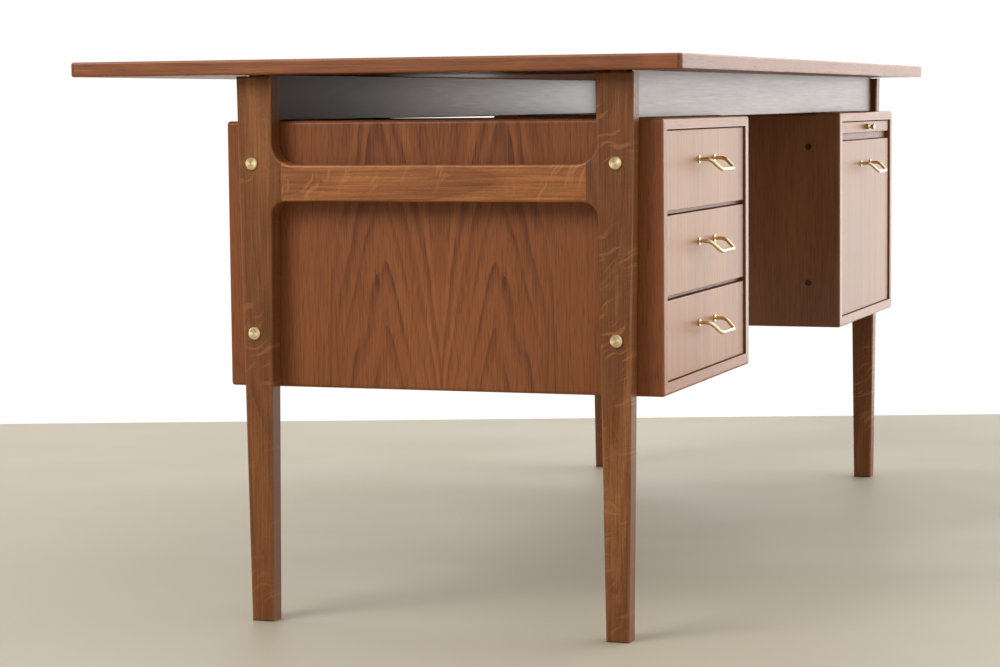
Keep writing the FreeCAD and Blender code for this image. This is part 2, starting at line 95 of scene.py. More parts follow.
# %% The bench
class Bench:
    """A set of nodes being joined up, with short names for the tools."""

    def __init__(self, tree):
        self.tree = tree

    def set(self, socket, value):
        """A number goes in a socket, and an output is joined to it."""
        if isinstance(value, bpy.types.NodeSocket):
            self.tree.links.new(value, socket)
        else:
            socket.default_value = value

    def node(self, kind, inputs=(), **settings):
        """A new node, its settings, and its inputs as (name or number, value) pairs."""
        made = self.tree.nodes.new(kind)
        for key, value in settings.items():
            setattr(made, key, value)
        for key, value in inputs:
            self.set(made.inputs[key], value)
        return made

    def math(self, operation, *values):
        """Arithmetic on numbers."""
        inputs = list(enumerate(values))
        return self.node("ShaderNodeMath", inputs, operation=operation).outputs[0]

    def add(self, first, second):
        """Two numbers added."""
        return self.math("ADD", first, second)

    def less(self, first, second):
        """The second number taken from the first."""
        return self.math("SUBTRACT", first, second)

    def times(self, first, second):
        """Two numbers multiplied."""
        return self.math("MULTIPLY", first, second)

    def unsigned(self, value):
        """A number without its sign."""
        return self.math("ABSOLUTE", value)

    def join(self, x, y, z):
        """Three numbers as one place."""
        return self.node("ShaderNodeCombineXYZ", [("X", x), ("Y", y), ("Z", z)]).outputs[0]

    def parts(self, place):
        """A place as three numbers."""
        return self.node("ShaderNodeSeparateXYZ", [(0, place)]).outputs

    def scaled(self, place, sizes):
        """A place with each of its numbers multiplied."""
        inputs = [(0, place), (1, sizes)]
        return self.node("ShaderNodeVectorMath", inputs, operation="MULTIPLY").outputs[0]


print("bench ready")

# %% [markdown]
# A finish is a bench for one material. It adds the tools that only a surface needs:
# clouds of noise, ramps of colour, one colour laid over another, and bump. Noise is the
# raw stuff of every finish here. Stretched forty times longer than it is wide it is a wood
# fibre, and left round it is tarnish.


# %% Tools for finishes
FLAT_FACE, ROUND_ARRIS = 0.995, 0.86


class Finish(Bench):
    """One material being made."""

    def __init__(self, name):
        self.material = bpy.data.materials.new(name)
        self.material.use_nodes = True
        super().__init__(self.material.node_tree)
        self.shader = self.tree.nodes["Principled BSDF"]

    def here(self):
        """Where a point is, in metres on a piece that isn't scaled."""
        return self.node("ShaderNodeTexCoord").outputs["Object"]

    def facing(self):
        """Which way the surface faces at a point."""
        return self.node("ShaderNodeTexCoord").outputs["Normal"]

    def noise(self, place, scale=1.0, detail=2.0, rough=0.5):
        """Soft cloudy noise from 0 to 1, with its middle near 0.5."""
        inputs = [("Vector", place), ("Scale", scale), ("Detail", detail),
                  ("Roughness", rough)]
        return self.node("ShaderNodeTexNoise", inputs).outputs[0]

    def noise_line(self, along, detail=2.0, rough=0.5):
        """Noise that changes along one number only."""
        inputs = [("W", along), ("Scale", 1.0), ("Detail", detail), ("Roughness", rough)]
        return self.node("ShaderNodeTexNoise", inputs, noise_dimensions="1D").outputs[0]

    def fit(self, value, low, high, to_low=0.0, to_high=1.0):
        """A smooth step: value from low to high becomes to_low to to_high."""
        inputs = [("Value", value), ("From Min", low), ("From Max", high),
                  ("To Min", to_low), ("To Max", to_high)]
        made = self.node("ShaderNodeMapRange", inputs, interpolation_type="SMOOTHSTEP")
        return made.outputs[0]

    def ramp(self, value, stops):
        """Colours along a value, as (position, colour) pairs."""
        made = self.node("ShaderNodeValToRGB", [("Fac", value)])
        points = made.color_ramp.elements
        points[0].position, points[1].position = stops[0][0], stops[-1][0]
        points[0].color, points[1].color = (*stops[0][1], 1), (*stops[-1][1], 1)
        for position, colour in stops[1:-1]:
            points.new(position).color = (*colour, 1)
        return made.outputs[0]

    def tint(self, share, under, over, way="MIX"):
        """One colour laid over another by a share from 0 to 1."""
        made = self.node("ShaderNodeMix", data_type="RGBA", blend_type=way)
        factor, first, second = (made.inputs[number] for number in (0, 6, 7))
        self.set(factor, share)
        for socket, colour in ((first, under), (second, over)):
            self.set(socket, (*colour, 1) if isinstance(colour, tuple) else colour)
        return made.outputs[2]

    def bump(self, height, distance):
        """A surface normal from a height from 0 to 1 and its real size in metres."""
        inputs = [("Height", height), ("Distance", distance), ("Strength", 1.0)]
        return self.node("ShaderNodeBump", inputs).outputs[0]

    def rounded(self):
        """1 on a rounded arris and 0 on a flat face, read from which way it faces."""
        inputs = [(0, self.facing())]
        turned = self.node("ShaderNodeVectorMath", inputs, operation="ABSOLUTE").outputs[0]
        x, y, z = self.parts(turned)
        squareness = self.math("MAXIMUM", self.math("MAXIMUM", x, y), z)
        return self.fit(squareness, FLAT_FACE, ROUND_ARRIS)

    def shine(self, colour, roughness, normal=None, **plain):
        """Join the results to the shader. Plain values are set on its own sockets."""
        self.set(self.shader.inputs["Base Color"], colour)
        self.set(self.shader.inputs["Roughness"], roughness)
        if normal:
            self.set(self.shader.inputs["Normal"], normal)
        for key, value in plain.items():
            self.shader.inputs[key.replace("_", " ")].default_value = value
        return self.material


print("finishing tools ready")

# %% [markdown]
# ## Wood, as it grows
#
# Painting grain on each board would take for ever and would not agree at the corners.
# A log can be described instead, and each board cut from it. In a log the rings are
# nested cones, so three numbers describe any point of a board: how far across the board
# it is, how deep through it, and how far along the grain. From those comes the distance
# to the heart of the log. Equal distances share a ring, so one line of noise read along
# that distance colours every ring, on the face and on the edges alike, and where a flat
# board skims a cone the rings open out into the arches called a cathedral.
#
# Each wood is a small table. Its first half is the log:
#
# - `dark`, `middle` and `light` are the colours from the darkest line to the palest
# - `ring` is the width of a ring, and `heart` is how deep the heart lies under the board
# - `crown` moves the heart sideways, and `rise` is how steep the cone is
# - `spread` straightens the rings beyond the `shoulder`, towards the board's edges
# - `wander` is how far the rings stray, because no tree grows straight
#
# Its second half is what shows on the board:
#
# - `band` and `late` are the strength of the rings and of their dark latewood lines
# - `figure`, where there is one, fades both between two distances from the middle
# - `streak`, `line` and `patch` are slow, fine and wide changes of colour
# - `pores` and `pore_size` are the open pores, and `relief` is how deep they are cut
# - `flecks` is the strength of the ray flecks, which lie across the grain in oak
# - `roughness` and `gloss` are the surface, from raw wood to wax
#
# Each size is in metres, or in marks to a metre, so the grain is true on every board.

# %% What each wood looks like
TEAK = dict(
    dark=(0.080, 0.020, 0.006), middle=(0.233, 0.070, 0.019), light=(0.370, 0.135, 0.043),
    ring=0.012, heart=0.05, crown=0.0, rise=0.05, spread=2.0, shoulder=0.0, wander=0.014,
    band=0.44, late=0.13, figure=None, streak=0.26, line=0.22, patch=0.26, pores=0.40,
    pore_size=(900.0, 42.0), relief=0.5, flecks=0.0, roughness=0.42, gloss=0.35)
OAK = dict(
    dark=(0.075, 0.022, 0.005), middle=(0.190, 0.063, 0.016), light=(0.360, 0.145, 0.045),
    ring=0.0045, heart=0.12, crown=0.0, rise=0.02, spread=1.0, shoulder=0.0, wander=0.010,
    band=0.36, late=0.13, figure=None, streak=0.20, line=0.22, patch=0.22, pores=0.45,
    pore_size=(1300.0, 170.0), relief=0.8, flecks=0.50, roughness=0.42, gloss=0.35)
PALE_OAK = dict(
    OAK, dark=(0.36, 0.22, 0.11), middle=(0.52, 0.36, 0.20), light=(0.66, 0.49, 0.30),
    flecks=0.25, roughness=0.55, gloss=0.4)
BEECH = dict(
    TEAK, dark=(0.38, 0.22, 0.12), middle=(0.54, 0.35, 0.20), light=(0.62, 0.43, 0.27),
    ring=0.004, wander=0.006, streak=0.20, pores=0.20, flecks=0.20, roughness=0.50)
PLY = dict(
    BEECH, dark=(0.42, 0.27, 0.15), middle=(0.56, 0.40, 0.25), light=(0.66, 0.50, 0.34),
    ring=0.020, rise=0.10, spread=1.0, wander=0.03, flecks=0.0, roughness=0.60)
print("woods: teak, oak, pale oak, beech, ply")

# %% [markdown]
# ## Where a point is in its board
#
# A board's finish is told the middle of the board and the order of its axes as three
# letters: across, through, along. `matched` folds the pattern about the middle, which is
# what a veneer cutter does with two leaves from one bundle, opened like a book. The
# lippings round the top are one piece with grain in two directions, so `swap` gives an
# axis and a line, and beyond that line across and along change places.

# %% Places in a board
AXES = {"x": 0, "y": 1, "z": 2}


def board_places(f, middle, order, matched, swap):
    """A point's three numbers in a board, and whether it is beyond the swap line."""
    to_middle = tuple(-c for c in middle)
    inputs = [("Vector", f.here()), ("Location", to_middle)]
    parts = f.parts(f.node("ShaderNodeMapping", inputs).outputs[0])
    across, through, along = (parts[AXES[axis]] for axis in order)
    beyond = None
    if matched:
        across = f.unsigned(across)
    if swap:
        axis, line = swap
        beyond = f.math("GREATER_THAN", f.unsigned(parts[AXES[axis]]), line)
        within = f.less(1.0, beyond)
        across, along = (f.add(f.times(across, within), f.times(along, beyond)),
                         f.add(f.times(along, within), f.times(across, beyond)))
    return across, through, along, beyond


print("a point's place: across, through, along")

# %% [markdown]
# ## Rings and rays
#
# The ring count is the distance to the heart, divided by the width of a ring. Slow noise
# sways the heart and the rings together, so that neighbouring rings stay parallel.
#
# Oak has a second pattern. Its rays are sheets of pale cells that run from the heart to
# the bark, and where a board is cut along them they show as short bright marks across
# the grain. They are noise too, stretched across the board, leaning a little, and let
# through only where a wider noise allows it, because they come in drifts.

# %% Rings and ray flecks
SWAYS, SWAYS_ALONG = 7.0, 0.22
RINGS_PER_SEED = 7
FLECKS_ACROSS, FLECKS_ALONG, FLECK_LEAN = 26.0, 150.0, 0.45
FLECK_BENDS, FLECK_BEND_DEPTH = 24.0, 0.045
DRIFTS_ACROSS, DRIFTS_ALONG = 11.0, 9.0
FLECK_EDGE, DRIFT_EDGE = (0.55, 0.66), (0.42, 0.58)


def rings(f, wood, across, through, along, seed):
    """The number of rings between a point and the heart of the log."""
    slow = f.join(f.add(across, seed), through, f.times(along, SWAYS_ALONG))
    sway = f.less(f.noise(slow, scale=SWAYS, detail=3.0), 0.5)
    side = f.add(across, f.times(sway, wood["wander"] * 2))
    side = f.less(side, wood["crown"])
    depth = f.add(through, wood["heart"])
    reach = f.math("SQRT", f.add(f.times(side, side), f.times(depth, depth)))
    outside = f.math("MAXIMUM", f.less(f.unsigned(side), wood["shoulder"]), 0.0)
    reach = f.add(reach, f.times(f.times(outside, outside), wood["spread"]))
    reach = f.less(reach, f.times(along, wood["rise"]))
    reach = f.add(reach, f.times(sway, wood["wander"]))
    return f.add(f.math("DIVIDE", reach, wood["ring"]), seed * RINGS_PER_SEED)


def ray_flecks(f, across, along, seed):
    """1 on a pale ray fleck and 0 between them."""
    bend = f.noise(f.join(f.add(across, seed), along, 0.0), scale=FLECK_BENDS, detail=1.0)
    shifted = f.add(along, f.times(bend, FLECK_BEND_DEPTH))
    shifted = f.add(shifted, f.times(across, FLECK_LEAN))
    marks = f.join(f.times(across, FLECKS_ACROSS), f.times(shifted, FLECKS_ALONG), seed)
    drifts = f.join(f.times(across, DRIFTS_ACROSS), f.times(along, DRIFTS_ALONG), seed)
    mark = f.fit(f.noise(marks, detail=2.0), *FLECK_EDGE)
    return f.times(mark, f.fit(f.noise(drifts), *DRIFT_EDGE))


print("flecks to a metre:", FLECKS_ACROSS, "across,", FLECKS_ALONG, "along")

# %% [markdown]
# ## The tone of the grain
#
# Every layer is noise about 0.5, so its share says how far it may push the tone up or
# down, and all the layers simply add up. The latewood line is the last part of each
# ring, just before it steps back to pale earlywood. It is dark only where a streak lets
# it be, because an even line would look printed.

# %% Layers of grain
STREAKS, LINES, FIBRES = (75.0, 75.0, 2.2), (270.0, 270.0, 4.0), (620.0, 620.0, 16.0)
PATCHES = (9.0, 9.0, 1.6)
FIBRE_SHARE = 0.40
CALM_EDGE = 0.30
LATEWOOD_SHARPNESS, LATEWOOD_STREAKS = 4.0, (0.35, 0.60)


def grain(f, wood, places, board_place, seed):
    """The tone of the grain from 0 to 1, and the fibres on their own."""
    across, through, along = places
    count = rings(f, wood, across, through, along, seed)
    band = f.noise_line(count, detail=3.0, rough=0.62)
    late = f.math("POWER", f.math("FRACT", count), LATEWOOD_SHARPNESS)
    if wood["figure"]:
        inner, outer = wood["figure"]
        lively = f.fit(f.unsigned(across), inner, outer, 1.0, CALM_EDGE)
        band = f.add(0.5, f.times(f.less(band, 0.5), lively))
        late = f.times(late, lively)
    streak = f.noise(f.scaled(board_place, STREAKS), detail=4.0, rough=0.6)
    line = f.noise(f.scaled(board_place, LINES), detail=2.0)
    patch = f.noise(f.scaled(board_place, PATCHES), detail=2.0)
    fibre = f.noise(f.scaled(board_place, FIBRES), detail=2.0)

    tone = 0.5
    for layer, share in ((band, wood["band"]), (streak, wood["streak"]),
                         (line, wood["line"]), (patch, wood["patch"]),
                         (fibre, FIBRE_SHARE)):
        tone = f.add(tone, f.times(f.less(layer, 0.5), share))
    late = f.times(late, f.fit(streak, *LATEWOOD_STREAKS))
    return f.less(tone, f.times(late, wood["late"])), fibre


print("layers: rings, streaks, lines, patches, fibres")

# %% [markdown]
# ## The whole finish of a board
#
# Three things happen at a board's edges. End grain drinks more stain, so it is darker.
# Rounded arrises are rubbed by hands and sleeves, so they are paler and smoother, but
# only in places. And the front edge of a case is a solid lipping, a thin strip glued over
# the edge of the veneered board; with `lipped` every face that looks forward is
# painted paler and made a little smoother, a painted glare of the bright room in front.
# `shade` darkens or lightens a whole board, for stain, for wood that light has reached,
# and for painted shade on the kneehole sides.
#
# Noise is turned into a mark by a pair of numbers, such as `PORE_EDGE`: below the first
# there is no mark, above the second it is whole, and between them is its soft edge.

# %% A board of any wood
TONE_STOPS = (0.22, 0.49, 0.76)
PLACE_PER_SEED = (1.0, 0.7, 1.3)
PORE_EDGE, END_EDGE, GLARE_EDGE = (0.54, 0.68), (0.75, 0.98), (0.45, 0.90)
RUBS, RUB_EDGE, RUB_LEAST_MOST = (40.0, 40.0, 18.0), (0.35, 0.65), (0.15, 0.75)
END_STAIN, RUBBED_PALE, GLARE_PALE = 0.55, 0.45, 0.30
FIBRE_ROUGH, PORE_ROUGH, RUBBED_SMOOTH, GLARE_SMOOTH = 0.16, 0.08, 0.10, 0.03
FIBRE_HEIGHT, PORE_DEPTH, GRAIN_DEPTH = 0.5, 0.8, 0.00012


def end_grain(f, order, beyond):
    """1 where a board is cut across its grain."""
    axis = order[2] if beyond is None else order[0]
    cut = f.fit(f.unsigned(f.parts(f.facing())[AXES[axis]]), *END_EDGE)
    return cut if beyond is None else f.times(cut, beyond)


def board(name, wood, middle, order, seed=0.0, matched=False, swap=None, shade=1.0,
          lipped=False):
    """A wood finish for one board, with its own place in the log."""
    f = Finish(name)
    *places, beyond = board_places(f, middle, order, matched, swap)
    moved = [f.add(place, seed * share) for place, share in zip(places, PLACE_PER_SEED)]
    board_place = f.join(*moved)
    tone, fibre = grain(f, wood, places, board_place, seed)
    wide, long = wood["pore_size"]
    pore_noise = f.noise(f.scaled(board_place, (wide, wide, long)), detail=2.0)
    pore = f.fit(pore_noise, *PORE_EDGE)

    colours = (wood["dark"], wood["middle"], wood["light"])
    colour = f.ramp(tone, list(zip(TONE_STOPS, colours)))
    colour = f.tint(f.times(pore, wood["pores"]), colour, wood["dark"])
    if wood["flecks"]:
        fleck = ray_flecks(f, places[0], places[2], seed)
        colour = f.tint(f.times(fleck, wood["flecks"]), colour, wood["light"])
    ends = f.times(end_grain(f, order, beyond), END_STAIN)
    colour = f.tint(ends, colour, wood["dark"])

    rub = f.noise(f.scaled(board_place, RUBS), detail=3.0)
    rubbed = f.times(f.rounded(), f.fit(rub, *RUB_EDGE, *RUB_LEAST_MOST))
    colour = f.tint(f.times(rubbed, RUBBED_PALE), colour, wood["light"])
    rough = f.add(wood["roughness"], f.times(f.less(fibre, 0.5), FIBRE_ROUGH))
    rough = f.add(rough, f.times(pore, PORE_ROUGH * wood["relief"]))
    rough = f.less(rough, f.times(rubbed, RUBBED_SMOOTH))
    # Faces that look forward are painted paler and smoother here: a painted glare of the
    # light in front.
    if lipped:
        forward = f.times(f.parts(f.facing())["Y"], -1.0)
        forward_glare = f.fit(forward, *GLARE_EDGE)
        colour = f.tint(f.times(forward_glare, GLARE_PALE), colour, wood["light"])
        rough = f.less(rough, f.times(forward_glare, GLARE_SMOOTH))
    if shade != 1.0:
        colour = f.tint(1.0, colour, (shade, shade, shade), way="MULTIPLY")

    height = f.less(f.times(fibre, FIBRE_HEIGHT), f.times(pore, PORE_DEPTH * wood["relief"]))
    normal = f.bump(height, GRAIN_DEPTH)
    return f.shine(colour, rough, normal, IOR=1.5, Specular_IOR_Level=wood["gloss"])


print("board finish ready")

# %% [markdown]
# ## Cutting boards from the log
#
# Two boards must not show the same grain, and a script that picks places at random would
# give another desk each time. A seed is the answer: a number that moves a board to its
# own place in the log. It grows by one step for each board, so the desk is always the same.

# %% Helpers for dressing
SEED_STEP = 1.37
seed = 0.0


def next_seed():
    """A new place in the log for the next board."""
    global seed
    seed += SEED_STEP
    return seed


def dress(node, material):
    """Give a piece one material, in place of what it came with."""
    piece = nodes[node]
    piece.data.materials.clear()
    piece.data.materials.append(material)


def middle_of(node):
    """The middle of a piece's box."""
    low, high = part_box(node)
    return (low + high) / 2


def dress_board(node, wood, order, **extra):
    """A board's finish about its own middle."""
    dress(node, board(node, wood, middle_of(node), order, next_seed(), **extra))


print("ready to dress", len(nodes), "pieces")

# %% [markdown]
# ## The top and its aprons
#
# The top is a veneered board inside solid lippings, and it takes a broad quiet grain so
# that the edges stand out. The aprons carry it from underneath. They are stained nearly
# black and polished smooth, so at a low angle they mirror the light and look grey.

# %% Top and aprons
top_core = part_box("top_panel")[1]
TOP_TEAK = dict(TEAK, heart=0.10, rise=0.02, spread=0.6, ring=0.016)
LIPPING_TEAK = dict(TEAK, band=0.20, late=0.05, streak=0.16, gloss=0.5)
APRON_TEAK = dict(TEAK, roughness=0.34, gloss=0.5, relief=0.1, pores=0.2)

dress_board("top_panel", TOP_TEAK, "yzx")
dress_board("top_lippings", LIPPING_TEAK, "xzy", swap=("y", top_core.y), shade=1.03)
for node in ("front_apron", "back_apron"):
    dress_board(node, APRON_TEAK, "zyx", shade=0.38)
print("the top's veneer is", round(2 * top_core.x, 3), "long")

# %% [markdown]
# ## The end frames and the cases
#
# Wood is strong along its grain, so the grain runs up the legs and along the rails. The
# three letters say so for each board. Both frames are stained oak, with the flecks
# strongest on the front legs, where the eye falls first.
#
# The case sides are the showpiece: two leaves of teak veneer, book-matched about the
# middle, whose cathedrals open downwards. They come from a log with its heart well to one
# side and a steep cone. The sides that face the kneehole are the same veneer, cloudier
# and polished, and painted darker and colder: painted shade of the kneehole.

# %% End frames and cases
RAIL_OAK = dict(OAK, heart=0.30, wander=0.004, band=0.26, patch=0.30, flecks=0.38)
END_VENEER = dict(
    TEAK, dark=(0.060, 0.015, 0.006), light=(0.300, 0.102, 0.031), ring=0.017, heart=0.016,
    crown=0.072, rise=-0.21, spread=28.0, shoulder=0.045, wander=0.042, band=0.46,
    late=0.22, figure=(0.090, 0.150), streak=0.16, line=0.12, patch=0.40)
# The kneehole veneer's colder, duller colours are painted shade for the kneehole.
KNEE_VENEER_IN_PAINTED_SHADE = dict(
    END_VENEER, dark=(0.060, 0.019, 0.010), middle=(0.228, 0.080, 0.029),
    light=(0.300, 0.120, 0.047), patch=0.55, roughness=0.36, gloss=0.5)
BACK_VENEER = dict(END_VENEER, crown=0.0, figure=None)
POLISHED_TEAK = dict(TEAK, gloss=0.5)

for side in ("left", "right"):
    for leg, flecks in (("front", 0.62), ("back", 0.40)):
        dress_board(f"{side}_{leg}_leg", dict(OAK, flecks=flecks), "yxz", shade=0.95)
    dress_board(f"{side}_cross_rail", RAIL_OAK, "zxy", shade=1.42)
    dress_board(f"{side}_case_outer_side", END_VENEER, "yxz", matched=True, lipped=True)
    # The kneehole sides are painted darker by shade 0.84: painted shade of the kneehole.
    dress_board(f"{side}_case_inner_side", KNEE_VENEER_IN_PAINTED_SHADE, "yxz", matched=True, shade=0.84,
                lipped=True)
    for node in (f"{side}_case_top", f"{side}_case_bottom"):
        dress_board(node, POLISHED_TEAK, "yzx", lipped=True)
    dress_board(f"{side}_case_back", BACK_VENEER, "xyz")
print("two frames and two cases dressed, next place in the log:", round(seed, 2))

# %% [markdown]
# ## The fronts
#
# The three small fronts are sawn from one sheet, so that the grain runs on from one
# drawer to the next. Their finishes share one middle and one seed to say so. The fronts
# are the palest teak of the desk, as if years of daylight had bleached them.

# %% Fronts, slide and dividers
FRONT_TEAK = dict(
    TEAK, middle=(0.300, 0.112, 0.025), light=(0.44, 0.19, 0.050), ring=0.010, rise=0.015,
    spread=0.4, wander=0.014, band=0.30, late=0.06, streak=0.26, line=0.18, patch=0.36,
    pores=0.25, relief=0.3, gloss=0.5)

sheet_middle = middle_of("drawer_2_front")
sheet_seed = next_seed()
for node in ("drawer_1_front", "drawer_2_front", "drawer_3_front"):
    dress(node, board(node, FRONT_TEAK, sheet_middle, "xyz", sheet_seed))
dress_board("file_drawer_front", FRONT_TEAK, "xyz", shade=0.85)
dress_board("slide_board", FRONT_TEAK, "yzx")
dress_board("slide_shelf", TEAK, "yzx")
dress_board("small_drawer_dividers", TEAK, "yzx")
print("fronts dressed, one sheet about", tuple(round(c, 3) for c in sheet_middle))

# %% [markdown]
# ## Inside the drawers
#
# A maker saves the dear wood for what shows. The boxes are plain oak with no stain, the
# bottoms ply, and the runners beech, which wears well where wood slides on wood. The small
# plugs in the kneehole sides are nearly black.

# %% Boxes, runners, dowels and plugs
DRAWERS = ("drawer_1", "drawer_2", "drawer_3", "file_drawer")
for drawer in DRAWERS:
    for side in ("left", "right"):
        dress_board(f"{drawer}_{side}_side", PALE_OAK, "zxy")
    dress_board(f"{drawer}_back", PALE_OAK, "zyx")
    dress_board(f"{drawer}_bottom", PLY, "yzx")
for node in ("small_drawer_runners", "file_drawer_runners"):
    dress_board(node, BEECH, "zxy")
dress_board("frame_dowels", BEECH, "yzx")
dress_board("kneehole_plugs", dict(TEAK, roughness=0.20, gloss=0.6), "yzx", shade=0.25)
print("boxes dressed:", len(DRAWERS), "and next place in the log:", round(seed, 2))

# %% [markdown]
# ## Brass and steel
#
# Polished brass that is handled stays bright where fingers rub it and goes brown in the
# corners. A metal's colour is its reflection, so the shader is fully metallic and the
# wear shows as small changes of colour and roughness. The screws and washers are plain
# zinc-plated steel. The collars under the top are the same steel darkened nearly black,
# a painted shade for the dark narrow gap between the legs and the top.


# %% Metal that hands have worn
TARNISH_CLOUDS, TARNISH_EDGE, TARNISH_MOST = 90.0, (0.35, 0.75), 0.55
SPOTS, SPOT_EDGE, SPOT_SHARE = 650.0, (0.62, 0.74), 0.25
SCRATCHES, SCRATCH_DEPTH = (2600.0, 500.0, 2600.0), 0.00002
WEAR_EDGE, SMOOTHEST, ROUGHEST = (0.3, 0.7), 0.75, 1.35


def metal(name, bright, dull, roughness, scratched):
    """A lightly worn metal, with cloudy tarnish, spots and fine scratches."""
    f = Finish(name)
    here = f.here()
    cloud = f.noise(here, scale=TARNISH_CLOUDS, detail=4.0, rough=0.6)
    scratch = f.noise(f.scaled(here, SCRATCHES), detail=2.0)
    spot = f.fit(f.noise(here, scale=SPOTS, detail=2.0), *SPOT_EDGE)
    colour = f.tint(f.fit(cloud, *TARNISH_EDGE, 0.0, TARNISH_MOST), bright, dull)
    colour = f.tint(f.times(spot, SPOT_SHARE), colour, dull)
    worn = f.fit(cloud, *WEAR_EDGE, roughness * SMOOTHEST, roughness * ROUGHEST)
    rough = f.add(worn, f.times(scratch, scratched))
    return f.shine(colour, rough, f.bump(scratch, SCRATCH_DEPTH), Metallic=1.0)


brass = metal("brass", bright=(0.90, 0.77, 0.50), dull=(0.60, 0.45, 0.22),
              roughness=0.24, scratched=0.06)
steel = metal("steel", bright=(0.60, 0.59, 0.57), dull=(0.32, 0.30, 0.28),
              roughness=0.34, scratched=0.10)
# Steel darkened nearly black for the leg collars: painted shade of the narrow gap under the
# top.
steel_in_painted_shade = metal("steel_in_painted_shade", bright=(0.13, 0.12, 0.11), dull=(0.05, 0.045, 0.04),
                    roughness=0.40, scratched=0.10)
for node in (*(f"{drawer}_pull" for drawer in DRAWERS), "slide_knob"):
    dress(node, brass)
for node in ("leg_studs", "apron_screws", "frame_washers", "case_nuts", "file_hangers"):
    dress(node, steel)
# The collars take the darkened steel, a painted shade in the gap between legs and top.
dress("leg_collars", steel_in_painted_shade)
print("metals: brass, steel, black steel")

# %% [markdown]
# ## Bolt heads off the lathe
#
# A lathe leaves rings round the middle of each bolt head, too fine to see one by one.
# What shows is a bow-tie of light that turns with the eye. Blender has this as
# anisotropy: the roughness is stretched along a direction, the tangent. The eight heads
# are one piece in four corners of two frames, so the nearest corner is found first, and
# the tangent runs round it.

# %% Turned brass
BOLT_HEAD_RADIUS = 0.0081
LATHE_CUTS, CUT_DEPTH, CUT_ROUGH = 2400.0, 0.00003, 0.14
LATHE_BRIGHT, LATHE_DULL, LATHE_ROUGHNESS = (0.93, 0.77, 0.48), (0.62, 0.45, 0.22), 0.34
DULL_CLOUDS, DULL_EDGE, DULL_MOST = 120.0, (0.35, 0.70), 0.7


def turned_brass(name, node, head_radius):
    """Brass with fine rings round the middle of each bolt head."""
    f = Finish(name)
    low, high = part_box(node)
    here = f.here()
    cloud = f.noise(here, scale=DULL_CLOUDS, detail=3.0)
    parts = f.parts(here)
    from_head = []
    for axis in (1, 2):
        half = (high[axis] - low[axis]) / 2 - head_radius
        offset = f.less(parts[axis], (high[axis] + low[axis]) / 2)
        from_head.append(f.less(offset, f.times(f.math("SIGN", offset), half)))
    y, z = from_head
    radius = f.math("SQRT", f.add(f.times(y, y), f.times(z, z)))
    cut = f.noise_line(f.times(radius, LATHE_CUTS), detail=2.0)
    inputs = [(0, f.join(0.0, f.times(z, -1.0), y))]
    round_way = f.node("ShaderNodeVectorMath", inputs, operation="NORMALIZE").outputs[0]
    f.set(f.shader.inputs["Tangent"], round_way)
    colour = f.tint(f.fit(cloud, *DULL_EDGE, 0.0, DULL_MOST), LATHE_BRIGHT, LATHE_DULL)
    rough = f.add(LATHE_ROUGHNESS, f.times(cut, CUT_ROUGH))
    return f.shine(colour, rough, f.bump(cut, CUT_DEPTH), Metallic=1.0, Anisotropic=0.6)


dress("frame_bolts", turned_brass("turned_brass", "frame_bolts", BOLT_HEAD_RADIUS))
print("bolt heads:", 2000 * BOLT_HEAD_RADIUS, "mm across")

# %% [markdown]
# ## Nuts behind the pulls
#
# Each leg of a pull ends in a thread that comes through the drawer front, and inside the
# drawer a washer spreads the pull of the nut so that it doesn't bite into the wood. They
# could be three plain cylinders, but light gives that away at once: a real nut has
# chamfered corners and a washer has no sharp rim. So each cylinder is only the start. The
# nut's outer face is inset and pushed outwards to chamfer it, the thread's end is narrowed,
# and every edge is bevelled. One set is made at the first pull and the others are copies.

# %% Edit tools by hand
INTO_DRAWER = (-math.pi / 2, 0.0, 0.0)
FACES_OUT = 0.9


def turned_piece(name, sides, radius, thick, place):
    """A cylinder that points into the drawer, standing on a place."""
    bpy.ops.object.select_all(action="DESELECT")
    middle = place + Vector((0.0, thick / 2, 0.0))
    bpy.ops.mesh.primitive_cylinder_add(
        vertices=sides, radius=radius, depth=thick, location=middle, rotation=INTO_DRAWER)
    piece = bpy.context.object
    piece.name = name
    for parts in (piece.data.vertices, piece.data.edges, piece.data.polygons):
        parts.foreach_set("select", [False] * len(parts))
    return piece


def chamfer_end(piece, width, rise):
    """Inset the end that faces into the drawer, and push it outwards."""
    for face in piece.data.polygons:
        face.select = face.normal.z > FACES_OUT
    bpy.ops.object.mode_set(mode="EDIT")
    bpy.ops.mesh.select_mode(type="FACE")
    bpy.ops.mesh.inset(thickness=width)
    bpy.ops.transform.translate(value=(0.0, rise, 0.0))
    bpy.ops.object.mode_set(mode="OBJECT")


def soften(offset):
    """Bevel every edge of the piece in hand, and make its faces look outwards."""
    bpy.ops.object.mode_set(mode="EDIT")
    bpy.ops.mesh.select_all(action="SELECT")
    bpy.ops.mesh.bevel(offset=offset, segments=2, affect="EDGES")
    bpy.ops.mesh.normals_make_consistent(inside=False)
    bpy.ops.object.mode_set(mode="OBJECT")


print("edit tools ready")

# %% One set of washer, nut and thread
ROSETTE_RADIUS = 0.0048
WASHER_RADIUS, WASHER_THICK, WASHER_BEVEL = 0.0062, 0.0010, 0.00025
NUT_RADIUS, NUT_THICK, NUT_CHAMFER, NUT_BEVEL = 0.0046, 0.0028, 0.0008, 0.00015
THREAD_RADIUS, THREAD_SHOWS, THREAD_CHAMFER, THREAD_BEVEL = 0.0021, 0.0014, 0.0004, 0.00012
CHAMFER_RISE = 0.0004
WASHER_SIDES, NUT_SIDES, THREAD_SIDES = 40, 6, 24
SHARPEST_SMOOTHED = math.radians(30)


